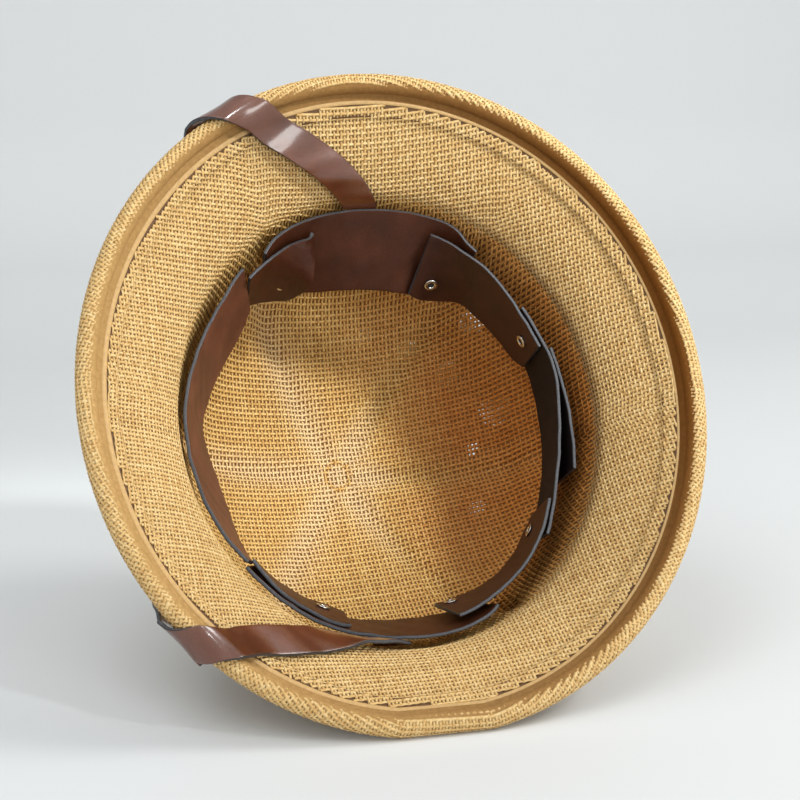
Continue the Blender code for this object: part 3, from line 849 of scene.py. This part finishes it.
def makeEdgeCore(bearings, bare):
    # the solid roll under its threads, the valley beside it and the glued hem
    r, top, floor, rim = [edge[label] for label in ("coreRadius", "hemTop", "valleyFloor", "hemRim")]
    first, last = math.asin(hat["clearance"] / r), math.asin(floor / r) - 2 * math.pi
    # places up the brim and off it, each with the look of the face that begins there
    section = []
    for k in range(edge["coreSteps"] + 1):
        turn = first + (last - first) * k / edge["coreSteps"]
        section.append((r * math.cos(turn), r * math.sin(turn), int(k >= edge["clothSteps"])))
    valley, hemEnd = edge["valleyEnd"], rollRadius + hat["hemWidth"]
    rise, shoulder = edge["rimRise"]
    soft, cut = edge["rimRounding"], edge["cutRounding"]
    section += [
        (valley, floor, 1), (valley + rise, rim - soft, 2), (valley + shoulder, rim, 2),
        (bare - soft, rim, 2), (bare - soft / 4, rim - soft / 2, 2), (bare - soft / 4, top, 3),
        (bare + rise, top, 3), (hemEnd - cut, top, 0), (hemEnd, top - cut, 0),
        (hemEnd + soft / 4, soft / 4, 0),
    ]
    rows, _ = rollRows(bearings, [spot[:2] for spot in section])
    faces = ringFaces(*rows.shape[:2]).reshape(-1, 4).tolist()
    looks = [plainMaterial(look) for look in ("rollCloth", "hemCloth", "hemCut")]
    looks.insert(1, valleyMaterial())
    indices = np.repeat([spot[2] for spot in section], len(bearings))
    mesh = smoothMesh("rolledEdgeCore", rows.reshape(-1, 3), faces, looks, indices)
    # painted shade on the valley, darkest at the back
    setAttribute(mesh, "shade", np.tile(fade(bearings, *edge["valleyShade"]), len(section)))
    mesh.set_sharp_from_angle(angle=math.radians(50))
    keep(addObject("rolledEdgeCore", mesh), "straw_edge", "rolled_edge")
    print("edge core", len(faces), "faces")


makeStraw()


# Leather. Each row of a strip is bearing, near, deep, width: near and deep are the places of its two
# edges as shares of the opening's half size, width is a share of the band's, 1 where it isn't given.
strips = {
    "frontBand": {"node": "front_band", "layer": 0, "start": -0.04, "look": "tan", "rows": (
        (128.5, 0.945, 0.846, 0.9), (134, 0.94, 0.825), (141, 0.936, 0.814), (152, 0.948, 0.828),
        (164, 0.967, 0.855), (174, 0.985, 0.874), (184, 0.992, 0.854), (196, 0.991, 0.835),
        (208, 0.988, 0.844), (216, 0.98, 0.863), (223.2, 0.97, 0.875, 0.94))},
    "leftFrontTab": {"node": "left_front_tab", "layer": 2, "start": 0.08, "look": "brown", "rows": (
        (128.0, 0.941, 0.915, 0.8), (120, 0.941, 0.868, 0.94), (113, 0.946, 0.816), (107, 0.95, 0.8, 0.62),
        (104, 0.951, 0.94, 0.1))},
    "leftBridge": {"node": "left_bridge", "layer": 1, "start": 0.02, "look": "brown", "rows": (
        (120, 0.951, 0.905, 0.82), (114, 0.984, 0.842, 1.05), (106, 0.994, 0.78, 1.12),
        (96, 0.993, 0.742, 1.14), (84, 0.994, 0.73, 1.14), (72, 1.002, 0.741, 1.14),
        (64, 0.998, 0.786, 1.14), (58.5, 0.957, 0.832, 1.1), (55, 0.942, 0.88, 0.85))},
    "leftBackStrip": {"node": "left_back_strip", "layer": 2, "start": 0.06, "look": "dark", "rows": (
        (69, 0.951, 0.76, 0.94), (64, 0.946, 0.775, 1.02), (58, 0.933, 0.822, 1.02), (51, 0.929, 0.88),
        (43, 0.915, 0.885), (34, 0.899, 0.895), (26, 0.894, 0.9, 0.97), (20.5, 0.897, 0.905, 0.8))},
    "backStrip": {"node": "back_strip", "layer": 1, "start": 0.05, "look": "black", "rows": (
        (34, 0.903, 0.903, 0.86), (27, 0.898, 0.918), (20, 0.901, 0.924), (12, 0.902, 0.914),
        (4, 0.886, 0.904), (-5, 0.872, 0.902), (-15, 0.869, 0.902), (-25, 0.876, 0.904),
        (-34, 0.899, 0.911), (-41, 0.921, 0.911, 0.86))},
    "backTail": {"node": "back_tail", "layer": 0, "start": 0.08, "look": "black", "rows": (
        (19, 0.909, 0.932, 0.9), (11, 0.902, 0.926, 0.94), (3, 0.905, 0.917, 0.94),
        (-5, 0.911, 0.914, 0.94), (-13, 0.922, 0.921, 0.92), (-19, 0.934, 0.933, 0.86))},
    "rightBackStrip": {"node": "right_back_strip", "layer": 2, "start": 0.05, "look": "dark", "rows": (
        (-31, 0.887, 0.896, 0.82), (-37, 0.903, 0.899, 0.97), (-45, 0.922, 0.902), (-54, 0.936, 0.892),
        (-62, 0.942, 0.873), (-69, 0.951, 0.856), (-76, 0.956, 0.849, 0.92))},
    "rightBridge": {"node": "right_bridge", "layer": 1, "start": 0.02, "look": "brown", "rows": (
        (-65.5, 0.968, 0.908, 0.86), (-69, 0.984, 0.892, 1.02), (-78, 0.992, 0.866, 1.05),
        (-89, 0.988, 0.856, 1.05), (-100, 0.991, 0.864, 1.05), (-110, 1.003, 0.876, 1.03),
        (-120, 1.005, 0.893), (-130, 1.005, 0.897), (-136.3, 1.008, 0.9, 0.94))},
    "rightFrontTab": {"node": "right_front_tab", "layer": 2, "start": 0.08, "look": "brown", "rows": (
        (-105, 0.989, 0.88, 0.8), (-110, 0.998, 0.866, 0.96), (-118, 0.997, 0.874), (-127, 0.995, 0.883),
        (-136.3, 0.976, 0.891, 0.95))},
}

leatherWork = {
    "rounding": 0.00042,  # of its cut edges
    "rimShares": (0.0, 0.2, 0.55, 1.0),  # of the rounding, where its rows lie
    "grid": 0.0011,
    "wrinkle": (0.0001, 0.03),  # height, for one of this length
    "wrinkles": 6,
    "wrinkleLengths": (0.006, 0.022),
    "wrinkleLean": 0.9,
    "seed": 5,
    "strapSeed": 45,
}


def stripEdges(strip):
    # near and deep edge of a strip, as two rows of points
    bearing, near, deep, width = smoothRows([(*row, 1.0)[:4] for row in strip["rows"]], 10).T
    halfSize = openingRadius(bearing)
    span = width * hat["bandWidth"]
    fall = np.sqrt(span**2 - ((near - deep) * halfSize) ** 2)
    layerStep = hat["leather"] + hat["clearance"]
    inset = (hat["clearance"] + hat["leather"] / 2 + strip["layer"] * layerStep) * span / fall
    depth = openingDepth + strip["start"] * hat["bandWidth"]
    return (place(bearing, near * halfSize - inset, depth + 0 * fall),
            place(bearing, deep * halfSize - inset, depth + fall))


def atDistances(line, distances):
    # points of a line at distances along it
    length = np.concatenate([[0], np.cumsum(np.linalg.norm(np.diff(line, axis=0), axis=1))])
    return np.stack([np.interp(distances * length[-1], length, line[:, k]) for k in range(3)], axis=-1)


def sharesWithRims(length):
    # even shares of a length, with closer ones where the rims are rounded
    rim = leatherWork["rounding"] * np.array(leatherWork["rimShares"]) / length
    count = max(3, int(length / leatherWork["grid"]))
    middle = np.linspace(rim[-1], 1 - rim[-1], count)[1:-1]
    return np.concatenate([rim, middle, 1 - rim[::-1]])


def leatherSheet(name, first, second, look, seed):
    # a leather strip between two edge lines, with rounded rims of cut leather
    length = max(np.linalg.norm(np.diff(line, axis=0), axis=1).sum() for line in (first, second))
    width = np.linalg.norm(second - first, axis=1).mean()
    along, across = sharesWithRims(length), sharesWithRims(width)
    a, b = atDistances(first, along), atDistances(second, along)
    middle = between(a[:, None], b[:, None], across)
    normal = unit(np.cross(np.gradient(middle, axis=0), np.gradient(middle, axis=1)))
    dice = np.random.default_rng(seed)
    s, u = along[:, None] * length, across[None] * width
    wave = np.zeros(middle.shape[:2])
    for _ in range(leatherWork["wrinkles"]):
        pace = dice.uniform(*leatherWork["wrinkleLengths"])
        lean = dice.uniform(-leatherWork["wrinkleLean"], leatherWork["wrinkleLean"])
        wave += np.sin((s + lean * u) * 2 * math.pi / pace + dice.uniform(0, 6.28)) * pace
    height, pace = leatherWork["wrinkle"]
    middle = middle + normal * (wave * height / pace)[..., None]
    r = leatherWork["rounding"]
    fromRim = np.minimum(np.minimum(s, length - s), np.minimum(u, width - u))
    inwards = np.clip(r - fromRim, 0, r)
    thick = normal * (hat["leather"] / 2 - r + np.sqrt(r * r - inwards * inwards))[..., None]
    rows, columns = middle.shape[:2]
    below = rows * columns
    corner = np.arange(below).reshape(rows, columns)
    sheet = np.stack([corner[:-1, 1:], corner[:-1, :-1], corner[1:, :-1], corner[1:, 1:]], axis=-1)
    sheet = sheet.reshape(-1, 4)
    onRim = np.ones((rows - 1, columns - 1), int)
    onRim[2:-2, 2:-2] = 0
    border = np.concatenate([corner[0], corner[1:, -1], corner[-1, -2::-1], corner[-2:0:-1, 0]])
    following = np.roll(border, -1)
    wall = np.stack([border, following, below + following, below + border], axis=-1)
    faces = np.concatenate([sheet, below + sheet[:, ::-1], wall]).tolist()
    indices = [*onRim.flat, *onRim.flat, *[2] * len(wall)]
    points = np.concatenate([(middle + thick).reshape(-1, 3), (middle - thick).reshape(-1, 3)])
    looks = [bpy.data.materials[label] for label in (look + "Leather", "burnishedRim", "cutEdge")]
    return addObject(name, smoothMesh(name, points, faces, looks, indices))


def makeStrips():
    plainMaterial("burnishedRim")
    plainMaterial("cutEdge")
    for look in leatherLook:
        leatherMaterial(look)
    for count, (name, strip) in enumerate(strips.items()):
        made = leatherSheet(name, *stripEdges(strip), strip["look"], leatherWork["seed"] + count)
        keep(made, strip["look"] + "_leather", strip["node"])
    print("strips", len(strips))


makeStrips()

# bearing, out, depth, faces, skew: out runs from the opening to the rolled edge, faces is the way the
# strap's outer face looks, skew turns its cross lines to the line of that edge. It lies on the roll
# where skew is 1.
strapRoute = (
    (88.8, -0.2, 1.56, -81), (89.0, -0.115, 1.19, -77), (90.2, -0.05, 0.945, -68),
    (95.0, 0.135, 0.665, -50), (100.1, 0.316, 0.445, -32, 0.1), (105.4, 0.519, 0.232, -26, 0.3),
    (109.0, 0.7, 0.11, -30, 0.6), (112.8, 1.0, 0.0, -42, 1.0), (115.0, 1.0, 0.0, 0, 1.0),
    (117.2, 1.0, 0.0, 45, 1.0), (119.3, 1.0, 0.0, 90, 1.0), (120.3, 1.0, 0.0, 112, 1.0),
    (123.3, 1.06, 0.27, 110, 0.7), (129.5, 1.0, 0.52, 102, 0.3), (141.0, 0.83, 0.83, 95),
    (156.0, 0.42, 1.12, 91), (173.5, 0.165, 1.25, 90), (190.5, 0.175, 1.25, 90), (206.0, 0.48, 1.1, 91),
    (217.0, 0.9, 0.78, 96, 0.3), (221.4, 1.06, 0.32, 108, 0.7), (224.2, 1.0, 0.0, 112, 1.0),
    (225.2, 1.0, 0.0, 90, 1.0), (227.1, 1.0, 0.0, 45, 1.0), (229.0, 1.0, 0.0, 0, 1.0),
    (231.0, 1.0, 0.0, -42, 1.0), (235.3, 0.63, 0.17, -28, 0.6), (242.2, 0.359, 0.4, -32, 0.2),
    (247.3, 0.201, 0.59, -40), (255.2, 0.015, 0.83, -72), (263.0, -0.063, 0.985, -80),
    (266.2, -0.078, 1.15, -84), (267.4, -0.168, 1.56, -82),
)


def makeStrap():
    route = np.array([(*row, 0.0)[:5] for row in strapRoute])
    bearing, out, depth, faces, skew, wrap = smoothRows(np.c_[route, route[:, 4] == 1], 8).T
    lean = np.radians(faces)
    looks = place(bearing, np.sin(lean), -np.cos(lean))
    lift = wrap * (rollRadius / math.cos(math.pi / 12) + hat["clearance"] + hat["leather"] / 2
                   + hat["strapSlack"])
    points = brimPoint(bearing, out, depth) + looks * lift[:, None]
    way = unit(np.gradient(points, axis=0))
    square = unit(np.cross(way, looks))
    along = unit(brimPoint(bearing - 1, 1, 0) - brimPoint(bearing + 1, 1, 0))
    along *= np.sign((along * square).sum(axis=1, keepdims=True))
    side = unit(square + (along - square) * skew[:, None])
    side *= hat["strapWidth"] / 2 / np.linalg.norm(np.cross(side, way), axis=1, keepdims=True)
    made = leatherSheet("chinStrap", points - side, points + side, "strap", leatherWork["strapSeed"])
    keep(made, "strap_leather", "chin_strap")
    print("chin strap", len(made.data.polygons), "faces")


makeStrap()

eyelet = {
    "width": 0.0068,
    "bore": 0.003,
    "height": 0.0009,
    "ringSteps": 40,
    "rimSteps": 14,
    # the dark disc is painted shade for the hole in the bore
    "floorSteps": 24,  # of the dark disc in the bore
    "floorSpread": 1.15,  # its width as a share of the bore's
    "floorLift": 0.12,  # its place as a share of the height
    "seatGap": 0.00012,
    # strip, bearing, across: 0 is the strip's near edge, 1 its deep edge
    "places": (
        ("leftFrontTab", 115.2, 0.64), ("leftBackStrip", 63, 0.7), ("leftBackStrip", 26.5, 0.38),
        ("rightBackStrip", -38, 0.6), ("rightBackStrip", -72, 0.76), ("rightFrontTab", -112, 0.66),
    ),
}


def eyeletTree():
    tree, given = newTree("eyelets", Width="Float", Bore="Float", Height="Float", Steel="Material",
                          Dark="Material")
    width, bore, height = [given[label] for label in ("Width", "Bore", "Height")]

    def circle(steps, size):
        radius = reckon(tree, "DIVIDE", size, 4.0)
        return addNode(tree, "GeometryNodeCurvePrimitiveCircle", {"Resolution": steps, "Radius": radius})

    def lifted(geometry, share):
        shift = addNode(tree, "ShaderNodeCombineXYZ", {"Z": reckon(tree, "MULTIPLY", height, share)})
        return addNode(tree, "GeometryNodeTransform", {"Geometry": geometry, "Translation": shift})

    wall = reckon(tree, "SUBTRACT", width, bore)
    ratio = reckon(tree, "DIVIDE", reckon(tree, "MULTIPLY", height, 2.0), wall)
    squash = addNode(tree, "ShaderNodeCombineXYZ", {"X": 1.0, "Y": ratio, "Z": 1.0})
    ring = circle(eyelet["ringSteps"], reckon(tree, "ADD", width, bore))
    rim = circle(eyelet["rimSteps"], wall)
    flat = addNode(tree, "GeometryNodeTransform", {"Geometry": rim, "Scale": squash})
    body = addNode(tree, "GeometryNodeCurveToMesh", {"Curve": ring, "Profile Curve": flat})
    soft = addNode(tree, "GeometryNodeSetShadeSmooth", {"Geometry": lifted(body, 0.5)})
    # a dark disc in the bore, as painted shade
    reach = reckon(tree, "MULTIPLY", bore, eyelet["floorSpread"] / 2)
    disc = addNode(tree, "GeometryNodeMeshCircle", {"Vertices": eyelet["floorSteps"], "Radius": reach},
                   fill_type="NGON")
    disc = lifted(disc, eyelet["floorLift"])
    marked = addNode(tree, "GeometryNodeStoreNamedAttribute",
                     {"Geometry": disc, "Name": "bore", "Value": True}, data_type="BOOLEAN", domain="FACE")
    both = addNode(tree, "GeometryNodeJoinGeometry", {"Geometry": [soft, marked]})
    away = readAttribute(tree, "away", "FLOAT_VECTOR")
    turned = addNode(tree, "FunctionNodeAlignRotationToVector", {"Vector": away}, axis="Z")
    spread = addNode(tree, "GeometryNodeInstanceOnPoints", {
        "Points": given["Geometry"], "Instance": both, "Rotation": turned})
    return endTree(tree, spread, {"Material": given["Steel"]},
                   {"Material": given["Dark"], "Selection": readAttribute(tree, "bore", "BOOLEAN")})


def eyeletSeat(strip, bearing, across):
    # where an eyelet stands on the strip that carries it, and the way it looks
    lines = stripEdges(strip)
    angles = np.degrees(np.arctan2(lines[0][:, 1], lines[0][:, 0]))
    order = np.argsort(angles)

    def onStrip(at, share):
        near, deep = [np.array([np.interp(at, angles[order], line[order, i]) for i in range(3)])
                      for line in lines]
        return near + (deep - near) * share

    half = eyelet["width"] / 2
    turn = math.degrees(half / float(openingRadius(bearing)))
    centre = onStrip(bearing, across)
    along = onStrip(bearing + turn, across) - onStrip(bearing - turn, across)
    inwards = unit(np.cross(onStrip(bearing, 1) - onStrip(bearing, 0), along))
    inwards *= -np.sign(inwards @ centre)
    spots = [onStrip(bearing + k * turn, across + side * half / hat["bandWidth"])
             for k in (-1, 0, 1) for side in (-1, 1)]
    highest = max(float(inwards @ (spot - centre)) for spot in spots)
    return centre + inwards * (highest + hat["leather"] / 2 + eyelet["seatGap"]), inwards


def makeEyelets():
    seats = [eyeletSeat(strips[name], bearing, across) for name, bearing, across in eyelet["places"]]
    mesh = bpy.data.meshes.new("eyeletSeats")
    mesh.from_pydata(intoRoom([spot for spot, _ in seats]).tolist(), [], [])
    setAttribute(mesh, "away", np.array([way for _, way in seats]) @ toRoomTurn.T)
    settings = {"Width": eyelet["width"], "Bore": eyelet["bore"], "Height": eyelet["height"],
                "Steel": plainMaterial("eyeletSteel"), "Dark": plainMaterial("eyeletBore")}
    made = bakeTree(addObject("eyeletSeats", mesh), eyeletTree(), settings, "eyelets")
    keep(made, "steel", *[f"rivet_{k + 1}" for k in range(len(seats))])
    print("eyelets", len(made.data.polygons), "faces")


makeEyelets()
